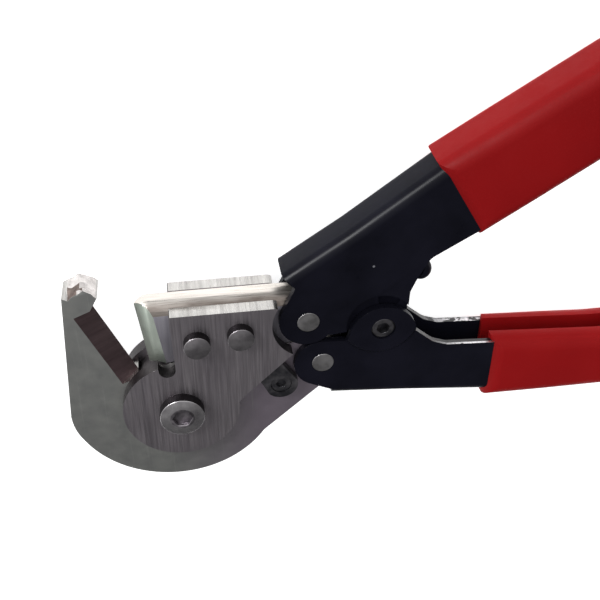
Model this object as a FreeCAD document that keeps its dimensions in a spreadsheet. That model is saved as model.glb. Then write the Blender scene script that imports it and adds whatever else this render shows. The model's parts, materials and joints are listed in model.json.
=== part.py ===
"""Compound-action tile nippers: a fixed hook jaw, a blade between two side plates, and two folded
steel handles in dipped vinyl, linked so that closing the handles closes the jaws.

The tool lies on its back. X runs from the jaws to the handles, Y is the side that the upper handle
opens to, and Z is the pivots' direction. The origin is on the main pivot's axis, at the flat face of
the pivot nut, which is the lowest face. Inside this file heights are counted from the middle plane of
the tool, and every sub-part's Placement lifts it by the height of that plane.
"""
import FreeCAD, Part
import math
import os
import Sketcher

SIZES = {
    # stack of plates, from the middle plane outwards, and the play between them
    "jawthick": 8.0, "sideplate": 4.0, "sheet": 2.0, "sideplay": 0.05, "walldrop": 0.15,
    "lapplay": 0.3, "fitplay": 0.05, "loopplay": 0.45,
    # pivots, measured from the main pivot
    "upperlinkx": 34.7, "upperlinky": 24.35, "lowerlinkx": 38.7, "lowerlinky": 10.4,
    "crossx": 54.6, "crossy": 20.9,
    # main pivot
    "pivotshank": 8.0, "bushwall": 1.6, "pivothead": 12.0, "headrim": 3.0, "headrise": 3.6,
    "pivotsocket": 4.6, "pivotsocketdepth": 1.4, "nutwidth": 13.0, "nutheight": 2.5, "tipbreak": 0.4,
    # jaws
    "hubradius": 13.4, "hubgap": 0.48, "discradius": 15.65, "jawtop": 31.0, "crownrise": 1.2,
    "edgeoffset": 6.0, "edgegap": 0.1, "bladetilt": 6.9, "hooktilt": 23.1, "bevelwidth": 4.75,
    "bevelfoot": 13.0, "beveltop": 37.6, "tailradius": 6.9, "nosetop": 38.0, "platedrop": 0.2,
    # rivets, screws and stops
    "bladerivet": 5.0, "rivethead": 6.9, "rivetrim": 2.6, "rivetrise": 3.1, "rivetset": 1.2,
    "linkrivet": 6.0, "stopthick": 3.0,
    "stopradius": 4.6, "stopscrew": 4.0, "stophead": 5.6, "stopsocket": 2.5, "stopsocketdepth": 1.0,
    "screwsink": 0.3,
    # handles
    "earradius": 7.4, "eargap": 2.2, "lapradius": 9.16, "lugradius": 6.8, "bendradius": 3.0,
    "crossbolt": 6.5, "crosssocket": 3.2, "crosssocketdepth": 2.4, "crossbushwall": 1.8,
    "crossnutwidth": 9.0, "crossnutheight": 2.2, "steellength": 137.0,
    # grips and the bumper in the upper handle's mouth
    "vinyl": 1.5, "innervinyl": 1.2, "griptail": 2.5, "tailskin": 0.6,
    "bumper": 6.0, "bumperrise": 3.2, "bumperlength": 10.5, "bumperblock": 8.0, "blockdepth": 5.0,
    "bumpernut": 6.4, "bumpernutheight": 2.4,
}

doc = FreeCAD.newDocument("TileNippers")
table = doc.addObject("Spreadsheet::Sheet", "Sizes")
for row, (alias, value) in enumerate(SIZES.items(), start=1):
    table.set(f"A{row}", alias)
    table.set(f"B{row}", str(value))
    table.setAlias(f"B{row}", alias)
doc.recompute()


def size(alias):
    return float(getattr(table, alias))


V = FreeCAD.Vector

# Heights above the middle plane, as expressions for features and as numbers for profiles.
HALF_JAW = "(Sizes.jawthick / 2)"
WALL_IN = "(Sizes.jawthick / 2 + Sizes.walldrop)"
WALL_OUT = "(Sizes.jawthick / 2 + Sizes.walldrop + Sizes.sheet)"
LAP = "((Sizes.sheet + Sizes.lapplay) / 2)"
MIDDLE = "Sizes.jawthick / 2 + Sizes.sideplate + Sizes.nutheight"
FACE = size("jawthick") / 2                          # face of the blade and the hook jaw
PLATE = FACE + size("sideplate")                     # outer face of a side plate
INNER = FACE + size("walldrop")                      # inner face of a handle wall
OUTER = INNER + size("sheet")                        # outer face of a handle wall
STEP = (size("sheet") + size("lapplay")) / 2         # how far each wall steps aside where they lap

# Places in the plane of the plates, from the main pivot.
UPPER = (size("upperlinkx"), size("upperlinky"))
LOWER = (size("lowerlinkx"), size("lowerlinky"))
CROSS = (size("crossx"), size("crossy"))
RIVETS = ((5.4, 22.5), (16.7, 23.9))
STOP = (27.2, 5.0)
ARCH = ((45.0, 20.2), (53.9, 30.9), (61.2, 27.2))    # left foot, crown and right foot of the lap line
NECK = (28.0, 38.4)                                  # where the upper handle's spine starts
BUMPER = (65.6, 34.4)
BUMPER_TURN = -28.0
nodes = []


# ---------------------------------------------------------------- outlines
def shifted(point, dx, dy):
    return (point[0] + dx, point[1] + dy)


def polar(center, radius, degrees):
    angle = math.radians(degrees)
    return (center[0] + radius * math.cos(angle), center[1] + radius * math.sin(angle))


def on_edge(offset, along, tilt):
    """A point beside a cutting edge: offset from the main pivot to the edge's side, along it."""
    angle = math.radians(tilt)
    return (-offset * math.cos(angle) - along * math.sin(angle),
            -offset * math.sin(angle) + along * math.cos(angle))


def rounded(points):
    """Lines through points; a third number rounds that corner. ("via", x, y) makes an arc."""
    geometry, corners = [], []
    for i, point in enumerate(points):
        if point[0] == "via" or len(point) < 3:
            corners.append(None)
            continue
        here, before, after = V(*point[:2]), V(*points[i - 1][:2]), V(*points[(i + 1) % len(points)][:2])
        back, ahead = (before - here).normalize(), (after - here).normalize()
        half = back.getAngle(ahead) / 2
        reach = point[2] / math.tan(half)
        middle = (back + ahead).normalize() * (point[2] / math.sin(half))
        inward = (back + ahead).normalize() * point[2]
        corners.append((here + back * reach, here + middle - inward, here + ahead * reach))
    count, start = len(points), 0
    for i in range(count):
        if corners[i]:
            geometry.append(Part.Arc(*corners[i]))
        if points[i][0] == "via":
            continue
        here = corners[i][2] if corners[i] else V(*points[i][:2])
        step = points[(i + 1) % count]
        if step[0] == "via":
            after = (i + 2) % count
            end = corners[after][0] if corners[after] else V(*points[after][:2])
            geometry.append(Part.Arc(here, V(*step[1:]), end))
        else:
            after = (i + 1) % count
            end = corners[after][0] if corners[after] else V(*points[after][:2])
            if (end - here).Length > 1e-6:
                geometry.append(Part.LineSegment(here, end))
    return geometry


# ---------------------------------------------------------------- features
def new_body(name):
    return doc.addObject("PartDesign::Body", name)


def sketch_on(body, name, role, height=None):
    sketch = body.newObject("Sketcher::SketchObject", name)
    plane = [p for p in body.Origin.OriginFeatures if p.Role == role][0]
    sketch.AttachmentSupport = [(plane, "")]
    sketch.MapMode = "FlatFace"
    if height is not None:
        sketch.setExpression("AttachmentOffset.Base.z", height)
    return sketch


def draw(sketch, outline):
    """Fill a sketch with an outline, or with a circle given as (center, radius expression)."""
    if isinstance(outline[1], str):
        center, radius = outline
        sketch.addGeometry(Part.Circle(V(*center), V(0, 0, 1), 1.0), False)
        index = sketch.addConstraint(Sketcher.Constraint("Radius", 0, 1.0))
        sketch.setExpression(f"Constraints[{index}]", radius)
    else:
        sketch.addGeometry(rounded(outline), False)


def grow(body, name, outline, base, height):
    """Pad an outline upwards from base."""
    sketch = sketch_on(body, name + "_sketch", "XY_Plane", base)
    draw(sketch, outline)
    pad = body.newObject("PartDesign::Pad", name)
    pad.Profile = sketch
    pad.setExpression("Length", height)
    doc.recompute()
    return pad


def cut(body, name, outline, top, depth):
    """Pocket an outline downwards from top."""
    before = body.Shape.Volume
    sketch = sketch_on(body, name + "_sketch", "XY_Plane", top)
    draw(sketch, outline)
    pocket = body.newObject("PartDesign::Pocket", name)
    pocket.Profile = sketch
    pocket.setExpression("Length", depth)
    doc.recompute()
    if body.Shape.Volume >= before - 1e-6:
        raise RuntimeError(f"{name} removed nothing")
    return pocket


def turn(name, outline):
    """A turned body: an outline of (radius, height) points, revolved about its own Z axis."""
    body = new_body(name)
    sketch = sketch_on(body, name + "_profile", "XZ_Plane")
    draw(sketch, outline)
    revolution = body.newObject("PartDesign::Revolution", name + "_turned")
    revolution.Profile = sketch
    revolution.ReferenceAxis = (sketch, ["V_Axis"])
    revolution.Angle = 360
    doc.recompute()
    return body


def break_edges(body, kind, amount, pick):
    """Chamfer or fillet the edges of the body's tip that pick chooses."""
    tip = body.Tip
    names = [f"Edge{i}" for i, edge in enumerate(tip.Shape.Edges, start=1) if pick(edge)]
    dress = body.newObject("PartDesign::" + kind, f"{body.Name}_{kind}{len(body.Group)}")
    dress.Base = (tip, names)
    dress.setExpression("Size" if kind == "Chamfer" else "Radius", amount)
    doc.recompute()
    return dress


def lies_flat(edge, height):
    """Whether an edge lies in the plane at a height, above or below the middle plane."""
    return edge.BoundBox.ZLength < 1e-5 and abs(abs(edge.Vertexes[0].Z) - height) < 1e-5


def middle_of(edge):
    return edge.valueAt((edge.FirstParameter + edge.LastParameter) / 2)


def keep(thing, label, place=(0, 0), rise="0"):
    """Name a finished sub-part and set it in the tool."""
    thing.Label = label
    thing.Placement.Base = V(place[0], place[1], 0)
    thing.setExpression("Placement.Base.z", f"{MIDDLE} + {rise}")
    nodes.append(thing)
    return thing


def bevel_cutter(name, tilt, offset, inward, first, last, side):
    """A block whose inner face is the ground bevel on one side of a cutting edge.

    It starts on the edge, at the middle plane, and climbs to the plate's face over the bevel's width.
    """
    reach, height = 12.0, 12.0
    block = doc.addObject("Part::Box", name)
    block.Length, block.Width, block.Height = last - first, 2 * reach, height
    rise = math.degrees(math.atan2(FACE, size("bevelwidth")))
    lean = FreeCAD.Rotation(V(1, 0, 0), rise if inward == (side > 0) else -rise)
    along = FreeCAD.Rotation(V(0, 0, 1), 90 + tilt)
    start = V(*on_edge(offset, first, tilt), 0)
    centred = FreeCAD.Placement(V(0, -reach, 0 if side > 0 else -height), FreeCAD.Rotation())
    block.Placement = FreeCAD.Placement(start, along * lean).multiply(centred)
    return block


def without(base, tools, name):
    """base with each tool cut from it in turn."""
    for count, tool in enumerate(tools, start=1):
        result = doc.addObject("Part::Cut", f"{name}_{count}")
        result.Base = base
        result.Tool = tool
        base = result
    doc.recompute()
    return base


# ---------------------------------------------------------------- jaws
def tail_lean():
    """The direction, in degrees, in which the hub and the hook's tail share a straight upper edge."""
    toward = math.degrees(math.atan2(LOWER[1], LOWER[0]))
    narrowing = (size("hubradius") - size("tailradius")) / math.hypot(*LOWER)
    return toward + math.degrees(math.acos(narrowing))


def hook_jaw():
    tilt, crest = size("hooktilt"), size("edgeoffset") + size("edgegap")
    hub = size("hubradius")
    seat = math.sqrt(hub ** 2 - crest ** 2)
    tail = size("tailradius")
    lean, top, bevel_end = tail_lean(), size("nosetop"), size("beveltop")
    outline = [
        (-26.8, top - 1.4), (-25.4, top + 0.4), (-21.4, top + 1.0), (-18.5, top - 0.4),
        (-18.1, top - 1.8),
        on_edge(crest, bevel_end, tilt), on_edge(crest, seat, tilt),
        ("via", *polar((0, 0), hub, 115)), polar((0, 0), hub, lean), polar(LOWER, tail, lean),
        ("via", *polar(LOWER, tail, 20)), polar(LOWER, tail, -45),
        (22.4, -13.9), ("via", -2.4, -27.2), (-27.4, -11.4), ("via", -29.2, -7.2), (-29.9, -2.1),
    ]
    body = new_body("HookBlank")
    half = "(Sizes.jawthick / 2 - Sizes.sideplay)"
    grow(body, "HookPlate", outline, f"-{half}", f"2 * {half}")
    cut(body, "HookPivotBore", ((0, 0), "Sizes.pivotshank / 2 + Sizes.bushwall + Sizes.fitplay"),
        half, f"2 * {half}")
    cut(body, "HookTailBore", (LOWER, "Sizes.linkrivet / 2 + Sizes.fitplay"), half, f"2 * {half}")
    cut(body, "StopScrewHole", (STOP, "Sizes.stopscrew / 2 + Sizes.fitplay"), half, f"2 * {half}")
    cutters = [bevel_cutter(f"HookBevel{n}", tilt, crest, True, size("bevelfoot"), bevel_end, side)
               for n, side in ((1, 1), (2, -1))]
    return keep(without(body, cutters, "HookJaw"), "hook_jaw")


def blade():
    tilt, edge = size("bladetilt"), size("edgeoffset")
    under = size("hubradius") + size("hubgap")
    top = size("jawtop") + size("platedrop")
    crown = top + size("crownrise")
    foot = math.sqrt(under ** 2 - edge ** 2)
    tail, lean = size("tailradius"), tail_lean()
    tip = on_edge(edge, (crown + edge * math.sin(math.radians(tilt))) / math.cos(math.radians(tilt)), tilt)
    end = polar(UPPER, tail, 92)
    outline = [
        tip, on_edge(edge, foot, tilt), ("via", *polar((0, 0), under, 108)), polar((0, 0), under, lean),
        polar(UPPER, tail, lean + 180), ("via", *polar(UPPER, tail, 0)), end, shifted(end, -4.0, 1.0),
    ]
    body = new_body("BladeBlank")
    grow(body, "BladePlate", outline, f"-{HALF_JAW}", "Sizes.jawthick")
    bore = "Sizes.linkrivet / 2 + Sizes.loopplay"
    cut(body, "BladeTailBore", (UPPER, bore), HALF_JAW, "Sizes.jawthick")
    for n, place in enumerate(RIVETS):
        cut(body, f"BladeRivetHole{n}", (place, "Sizes.bladerivet / 2 + Sizes.fitplay"),
            HALF_JAW, "Sizes.jawthick")
    cutters = [bevel_cutter(f"BladeBevel{n}", tilt, edge, False, 0.0, 2 * crown, side)
               for n, side in ((1, 1), (2, -1))]
    cutters.append(crown_cutter(tip[0] - 2, end[0] + 3, top))
    return keep(without(body, cutters, "Blade"), "blade")


def crown_cutter(left, right, top):
    """What is taken off a square top edge to leave it rounded across its thickness."""
    rise = size("crownrise")
    radius = (FACE ** 2 + rise ** 2) / (2 * rise)
    slab = doc.addObject("Part::Box", "CrownSlab")
    slab.Length, slab.Width, slab.Height = right - left, 2 * rise, 2 * FACE + 2
    slab.Placement.Base = V(left, top, -FACE - 1)
    round_bar = doc.addObject("Part::Cylinder", "CrownRound")
    round_bar.Radius, round_bar.Height = radius, right - left + 2
    round_bar.Placement = FreeCAD.Placement(V(left - 1, top + rise - radius, 0),
                                            FreeCAD.Rotation(V(0, 1, 0), 90))
    return without(slab, [round_bar], "CrownCutter")


def side_plate(label, side):
    top, disc = size("jawtop"), size("discradius")
    reach = size("earradius") + size("eargap")
    corner = polar(UPPER, reach, 243)
    heel = polar((0, 0), disc, 4)
    outline = [
        (-1.1, top, 0.4), (-0.6, 14.0), ("via", -2.8, 11.8), (-5.0, 14.0),
        polar((0, 0), disc, 109), ("via", *polar((0, 0), disc, 235)), heel,
        (17.6, 3.4), corner, ("via", *polar(UPPER, reach, 190)), (26.6, top - 0.3), (25.6, top),
    ]
    body = new_body(label.title().replace("_", "") + "Body")
    base = HALF_JAW if side > 0 else "-(Sizes.jawthick / 2 + Sizes.sideplate)"
    grow(body, body.Name + "Plate", outline, base, "Sizes.sideplate")
    top_face = f"{base} + Sizes.sideplate"
    cut(body, body.Name + "PivotHole", ((0, 0), "Sizes.pivotshank / 2 + Sizes.fitplay"),
        top_face, "Sizes.sideplate")
    for n, place in enumerate(RIVETS):
        cut(body, f"{body.Name}RivetHole{n}", (place, "Sizes.bladerivet / 2 + Sizes.fitplay"),
            top_face, "Sizes.sideplate")
    return keep(body, label)


def dome(radius, base, rise):
    """The middle point of a spherical dome's profile, from its rim at base to its top."""
    sphere = (radius ** 2 + rise ** 2) / (2 * abs(rise))
    angle = math.atan2(radius, sphere - abs(rise)) / 2
    drop = sphere * (1 - math.cos(angle))
    return ("via", sphere * math.sin(angle), base + rise - math.copysign(drop, rise))


def plate_rivet(label, place):
    """A rivet through the jaw: a tall turned head in front, and a low set head behind."""
    shank, head = size("bladerivet") / 2, size("rivethead") / 2
    rim, crown, back = PLATE + size("rivetrim"), PLATE + size("rivetrise"), size("rivetset")
    profile = [
        (0, -PLATE - back), dome(head, -PLATE, -back), (head, -PLATE), (shank, -PLATE),
        (shank, PLATE), (head, PLATE), (head, rim), dome(head, rim, crown - rim), (0, crown),
    ]
    return keep(turn(label.title().replace("_", ""), profile), label, place)


def pivot_screw():
    shank, head, rise = size("pivotshank") / 2, size("pivothead") / 2, size("headrise")
    low, rim, chamfer = -PLATE - size("nutheight"), PLATE + size("headrim"), size("tipbreak")
    profile = [
        (0, low), (shank - chamfer, low), (shank, low + chamfer), (shank, PLATE), (head, PLATE),
        (head, rim), dome(head, rim, PLATE + rise - rim), (0, PLATE + rise),
    ]
    body = turn("PivotScrew", profile)
    crown = "Sizes.jawthick / 2 + Sizes.sideplate + Sizes.headrise"
    cut(body, "PivotSocket", hexagon((0, 0), size("pivotsocket") / 2), crown, "Sizes.pivotsocketdepth")
    return keep(body, "pivot_screw")


def hexagon(center, inscribed, turned=0):
    return [polar(center, inscribed / math.cos(math.pi / 6), turned + 60 * n) for n in range(6)]


def pivot_bush():
    inner = size("pivotshank") / 2 + size("fitplay")
    outer = size("pivotshank") / 2 + size("bushwall")
    profile = [(inner, -FACE), (outer, -FACE), (outer, FACE), (inner, FACE)]
    return keep(turn("PivotBush", profile), "pivot_bush")


def hex_nut(label, place, width, height, bore, low):
    """A hexagonal nut whose lower face is at low, as expressions."""
    body = new_body(label.title().replace("_", ""))
    grow(body, body.Name + "Hexagon", hexagon((0, 0), width / 2, 15), low, height)
    cut(body, body.Name + "Bore", ((0, 0), f"{bore} + Sizes.fitplay"), f"{low} + {height}", height)
    return keep(body, label, place)


def stop_tab(label, side):
    """A small stop on the hook jaw's tail, whose straight side meets the side plate's flank."""
    radius = size("stopradius")
    outline = [(21.6, 6.6, 0.4), polar(STOP, radius, 225), ("via", *polar(STOP, radius, 290)),
               polar(STOP, radius, 10), (27.3, 12.2, 0.4)]
    body = new_body(label.title().replace("_", ""))
    base = HALF_JAW if side > 0 else f"-({HALF_JAW} + Sizes.stopthick)"
    grow(body, body.Name + "Plate", outline, base, "Sizes.stopthick")
    cut(body, body.Name + "Hole", (STOP, "Sizes.stopscrew / 2 + Sizes.fitplay"),
        f"{base} + Sizes.stopthick", "Sizes.stopthick")
    if side > 0:
        cut(body, body.Name + "Seat", (STOP, "Sizes.stophead / 2 + Sizes.fitplay"),
            f"{base} + Sizes.stopthick", "Sizes.stopthick / 2")
    return keep(body, label)


def stop_screw():
    shank, head = size("stopscrew") / 2, size("stophead") / 2
    top = FACE + size("stopthick") - size("screwsink")
    seat = FACE + size("stopthick") / 2
    profile = [(0, -top), (shank, -top), (shank, seat), (head, seat), (head, top), (0, top)]
    body = turn("StopScrew", profile)
    crown = "Sizes.jawthick / 2 + Sizes.stopthick - Sizes.screwsink"
    cut(body, "StopSocket", hexagon((0, 0), size("stopsocket") / 2), crown, "Sizes.stopsocketdepth")
    return keep(body, "stop_screw", STOP)


# ---------------------------------------------------------------- handles
def upper_steel():
    """The upper handle's inner and outer long edges, from the bend to the tail."""
    run = size("steellength") - 15.0
    inner = [(66.1, 40.8), (77.6, 48.0), (105.4, 66.4), polar((78.6, 48.7), run, 33.3)]
    outer = [polar((67.0, 64.0), run, 31.8), (105.7, 90.6), (66.7, 66.0), (44.6, 49.6)]
    return inner, outer


def lower_steel():
    """The lower handle's lower and upper long edges; the lower edge runs towards the tail."""
    tail = 85.5 + size("steellength")
    lower = [(41.4, -1.6), (60.8, -3.2), (85.4, -5.8), (120.9, -5.8), (tail, -4.8)]
    upper = [(tail, 10.6), (117.3, 10.2), (85.6, 12.2), (73.0, 12.8)]
    return lower, upper


def beside(points, distance):
    """Points moved sideways off a polyline, to the left of its direction."""
    moved = []
    for i, point in enumerate(points):
        before, after = points[max(i - 1, 0)], points[min(i + 1, len(points) - 1)]
        dx, dy = after[0] - before[0], after[1] - before[1]
        length = math.hypot(dx, dy)
        moved.append((point[0] - distance * dy / length, point[1] + distance * dx / length))
    return moved


def upper_handle():
    inner, outer = upper_steel()
    ear, radius, lug = shifted(UPPER, -0.3, 0.35), size("earradius"), size("lugradius")
    wall = [NECK, (31.3, 35.3, 0.8), polar(ear, radius, 155), ear, (40.4, 19.7), ARCH[0],
            polar(CROSS, lug, 215), polar(CROSS, lug, -20), ARCH[2],
            (61.4, 31.5, 2.5), (63.0, 35.4, 3.0), (66.1, 41.2, 4.0)]
    wall += inner[1:] + outer
    body = new_body("UpperChannel")
    grow(body, "UpperBlank", wall, f"-{WALL_OUT}", f"2 * {WALL_OUT}")
    spine = [NECK] + outer[::-1]
    break_edges(body, "Fillet", "Sizes.bendradius", beside_path(spine))
    grow(body, "UpperEar", (ear, "Sizes.earradius"), f"-{WALL_OUT}", f"2 * {WALL_OUT}")
    grow(body, "UpperLug", (CROSS, "Sizes.lugradius"), f"-{WALL_OUT}", f"2 * {WALL_OUT}")
    inside = beside([(16.9, 30.2)] + spine, -size("sheet"))
    tail = inner[-1]
    hollow = inside + [shifted(inside[-1], 30, 17), shifted(tail, 30, 10), shifted(tail, 10, -30),
                       (60, -20), (20, -20)]
    cut(body, "UpperHollow", hollow, WALL_IN, f"2 * {WALL_IN}")
    lug_joggle(body)
    cut(body, "UpperLinkHoles", (UPPER, "Sizes.linkrivet / 2 + Sizes.fitplay / 2"),
        WALL_OUT, f"2 * {WALL_OUT}")
    cut(body, "UpperCrossHoles", (CROSS, "Sizes.crossbolt / 2 + Sizes.fitplay"),
        WALL_OUT, f"2 * {WALL_OUT}")
    return keep(body, "upper_handle")


def beside_path(path):
    """Chooses the long edges at both outer faces that run along a polyline."""
    def near(edge):
        if not lies_flat(edge, OUTER):
            return False
        middle = middle_of(edge)
        line = Part.makePolygon([V(*p, middle.z) for p in path])
        return line.distToShape(Part.Vertex(middle))[0] < 0.05 and edge.Length > 3
    return near


def lug_joggle(body):
    """Both walls step inwards round the cross pivot, so the lower handle's ears lie over them."""
    foot, crown, heel = ARCH
    lug = size("lugradius")
    recess = [foot, ("via", *crown), heel, (66.0, 24.0), (66.0, 10.0), (44.0, 10.0), (42.5, 19.0)]
    thickened = [shifted(foot, 0.3, 0.6), ("via", *shifted(crown, 0, -0.3)), shifted(heel, -0.3, 0),
                 polar(CROSS, lug, -20), polar(CROSS, lug, 215)]
    sides = ((WALL_OUT, f"{WALL_IN} - {LAP}"), (f"-{WALL_OUT} + {LAP}", f"-{WALL_IN}"))
    for n, (recess_top, inner_base) in enumerate(sides):
        grow(body, f"LugWall{n}", thickened, inner_base, LAP)
        grow(body, f"LugRound{n}", (CROSS, "Sizes.lugradius"), inner_base, LAP)
        cut(body, f"LugRecess{n}", recess, recess_top, LAP)


def lower_handle():
    lower, upper = lower_steel()
    ear, radius, lap = shifted(LOWER, -0.4, -0.2), size("earradius"), size("lapradius")
    crown = shifted(CROSS, 0, -2.25)
    lens = [(44.7, 17.3), ("via", 54.3, 12.6), polar(crown, lap, 0), ("via", *polar(crown, lap, 90)),
            polar(crown, lap, 176)]
    wall = lower + upper + [(69.0, 14.2, 6.0)] + lens[2:] + [lens[0]]
    wall += [polar(ear, radius, 80), ear, polar(ear, radius, 250), (41.4, 0.6)]
    body = new_body("LowerChannel")
    grow(body, "LowerBlank", wall, f"-{WALL_OUT}", f"2 * {WALL_OUT}")
    break_edges(body, "Fillet", "Sizes.bendradius", beside_path(lower))
    grow(body, "LowerEar", (ear, "Sizes.earradius"), f"-{WALL_OUT}", f"2 * {WALL_OUT}")
    inside = beside([(20.0, 0.2)] + lower, size("sheet"))
    hollow = inside + [shifted(lower[-1], 30, 3), shifted(upper[0], 30, 20), (80, 50), (20, 50)]
    cut(body, "LowerHollow", hollow, WALL_IN, f"2 * {WALL_IN}")
    ear_joggle(body, lens)
    cut(body, "LowerLinkHoles", (LOWER, "Sizes.linkrivet / 2 + Sizes.fitplay / 2"),
        WALL_OUT, f"2 * {WALL_OUT}")
    cut(body, "LowerCrossHoles", (CROSS, "Sizes.crossbolt / 2 + Sizes.fitplay / 2"),
        f"{WALL_OUT} + {LAP}", f"2 * ({WALL_OUT} + {LAP})")
    return keep(body, "lower_handle")


def ear_joggle(body, lens):
    """Both walls step outwards round the cross pivot, up a slope along the lens's lower arc."""
    grow(body, "EarFront", lens, WALL_OUT, LAP)
    grow(body, "EarBack", lens, f"-{WALL_OUT} - {LAP}", LAP)
    cut(body, "EarFrontInside", lens, f"{WALL_IN} + {LAP}", LAP)
    cut(body, "EarBackInside", lens, f"-{WALL_IN}", LAP)
    lower_arc = Part.Arc(V(*lens[0]), V(*lens[1][1:]), V(*lens[2])).toShape()

    def foot(edge):
        if not lies_flat(edge, OUTER + STEP):
            return False
        middle = middle_of(edge)
        return lower_arc.distToShape(Part.Vertex(V(middle.x, middle.y, 0)))[0] < 0.05
    break_edges(body, "Chamfer", f"{LAP} - Sizes.fitplay", foot)


def link_rivet(label, place):
    radius = size("linkrivet") / 2
    profile = [(0, -OUTER), (radius, -OUTER), (radius, OUTER), (0, OUTER)]
    return keep(turn(label.title().replace("_", ""), profile), label, place)


def cross_bolt():
    """A shouldered bolt: a plain shank with a socket, and a thinner end for the nut."""
    radius, chamfer, sink = size("crossbolt") / 2, size("tipbreak"), size("screwsink")
    thread, face = radius - sink, OUTER + STEP
    low = sink - face - size("crossnutheight")
    profile = [(0, low), (thread - sink, low), (thread, low + sink), (thread, -face),
               (radius, -face), (radius, face - 2 * chamfer), (radius - chamfer, face - chamfer),
               (0, face - chamfer)]
    body = turn("CrossBolt", profile)
    top = f"{WALL_OUT} + {LAP} - Sizes.tipbreak"
    cut(body, "CrossSocket", hexagon((0, 0), size("crosssocket") / 2, 15), top, "Sizes.crosssocketdepth")
    return keep(body, "handle_bolt", CROSS)


def cross_bush():
    inner, half = size("crossbolt") / 2 + size("fitplay"), INNER - STEP
    outer = inner + size("crossbushwall")
    profile = [(inner, -half), (outer, -half), (outer, half), (inner, half)]
    return keep(turn("CrossBush", profile), "handle_bush", CROSS)


# ---------------------------------------------------------------- grips
def grip(label, inner, outer, dip_inner, dip_outer, channel, open_side):
    """Vinyl dipped over a channel: outside, over the edges and down the inner faces of the walls."""
    body = new_body(label.title().replace("_", ""))
    outline = [dip_outer, dip_inner] + inner + outer
    half = OUTER + size("vinyl")
    around = f"({WALL_OUT} + Sizes.vinyl)"
    grow(body, body.Name + "Skin", outline, f"-{around}", f"2 * {around}")
    break_edges(body, "Fillet", "Sizes.bendradius + Sizes.vinyl - Sizes.tailskin",
                lambda edge: lies_flat(edge, half) and edge.Length > 12)
    core = f"({WALL_IN} - Sizes.innervinyl)"
    cut(body, body.Name + "Hollow", open_side, core, f"2 * {core}")
    body.setExpression("Placement.Base.z", MIDDLE)
    result = without(body, [channel], body.Name + "Cut")
    result.Label = label
    nodes.append(result)
    return result


def upper_grip(channel):
    inner, outer = upper_steel()
    skin, tail, end_skin, slope = size("vinyl"), size("griptail"), size("tailskin"), 33.0
    low = beside(inner[1:], -skin)
    high = beside(outer[:-1], -skin)
    low[-1] = polar(low[-1], tail, slope)
    high[0] = polar(high[0], tail, slope)
    spine = beside(outer[-2::-1], -size("sheet") - size("innervinyl"))
    spine[-1] = polar(spine[-1], -end_skin, slope)
    start = shifted(spine[0], -20, -12)
    stop_low = polar(inner[-1], -end_skin, slope)
    hollow = [start] + spine + [shifted(stop_low, 6.4, -10), shifted(stop_low, 20, -40), (60, 0)]
    return grip("upper_grip", low, high, low.pop(0), high.pop(-1), channel, hollow)


def lower_grip(channel):
    lower, upper = lower_steel()
    skin, tail = size("vinyl"), size("griptail")
    low = beside(lower[2:], -skin)
    high = beside(upper[:-1], -skin)
    low[-1] = shifted(low[-1], tail, 0)
    high[0] = shifted(high[0], tail, 0)
    spine = beside(lower[2:], size("sheet") + size("innervinyl"))
    spine[-1] = shifted(spine[-1], -size("tailskin"), 0)
    start = shifted(spine[0], -20, 1)
    hollow = [start] + spine + [shifted(spine[-1], 0, 40), shifted(spine[0], -20, 40)]
    return grip("lower_grip", low, high, low.pop(0), high.pop(-1), channel, hollow)


# ---------------------------------------------------------------- bumper
def set_on_bumper(thing, label, back, aim, rise=MIDDLE):
    """Set a piece on the bumper's axis, a distance back from the dome's foot."""
    thing.Label = label
    thing.Placement = FreeCAD.Placement(V(*polar(BUMPER, -back, BUMPER_TURN), 0), aim)
    thing.setExpression("Placement.Base.z", rise)
    nodes.append(thing)


def bumper_aim():
    return FreeCAD.Rotation(V(0, 0, 1), BUMPER_TURN) * FreeCAD.Rotation(V(0, 1, 0), 90)


def bumper_block():
    """A steel block welded between the upper handle's walls, which the bumper screw goes through."""
    width, depth = size("bumperblock"), size("blockdepth")
    block = doc.addObject("Part::Box", "BumperBlock")
    block.Length, block.Width, block.Height = depth, width, 2 * INNER
    block.Placement.Base = V(0, -width / 2, 0)
    hole = doc.addObject("Part::Cylinder", "BumperHole")
    hole.setExpression("Radius", "Sizes.bumper / 4 + Sizes.fitplay")
    hole.Height = 2 * depth
    hole.Placement = FreeCAD.Placement(V(-depth / 2, 0, INNER), FreeCAD.Rotation(V(0, 1, 0), 90))
    block = without(block, [hole], "BumperBlockCut")
    turned = FreeCAD.Rotation(V(0, 0, 1), BUMPER_TURN)
    set_on_bumper(block, "bumper_block", size("bumperlength") - 1.0, turned, f"{MIDDLE} - {WALL_IN}")


def bumper_screw():
    """A dome-headed screw that stands out of the upper handle's open side."""
    head, rise, length = size("bumper") / 2, size("bumperrise"), size("bumperlength")
    shank = head / 2
    profile = [(0, -length), (shank, -length), (shank, 0), (head, 0), dome(head, 0, rise), (0, rise)]
    set_on_bumper(turn("BumperScrew", profile), "bumper_screw", 0.5, bumper_aim())


def bumper_nut():
    body = new_body("BumperNut")
    grow(body, "BumperNutHexagon", hexagon((0, 0), size("bumpernut") / 2), "0", "Sizes.bumpernutheight")
    cut(body, "BumperNutBore", ((0, 0), "Sizes.bumper / 4 + Sizes.fitplay"),
        "Sizes.bumpernutheight", "Sizes.bumpernutheight")
    set_on_bumper(body, "bumper_nut", 3.6, bumper_aim())


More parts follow.
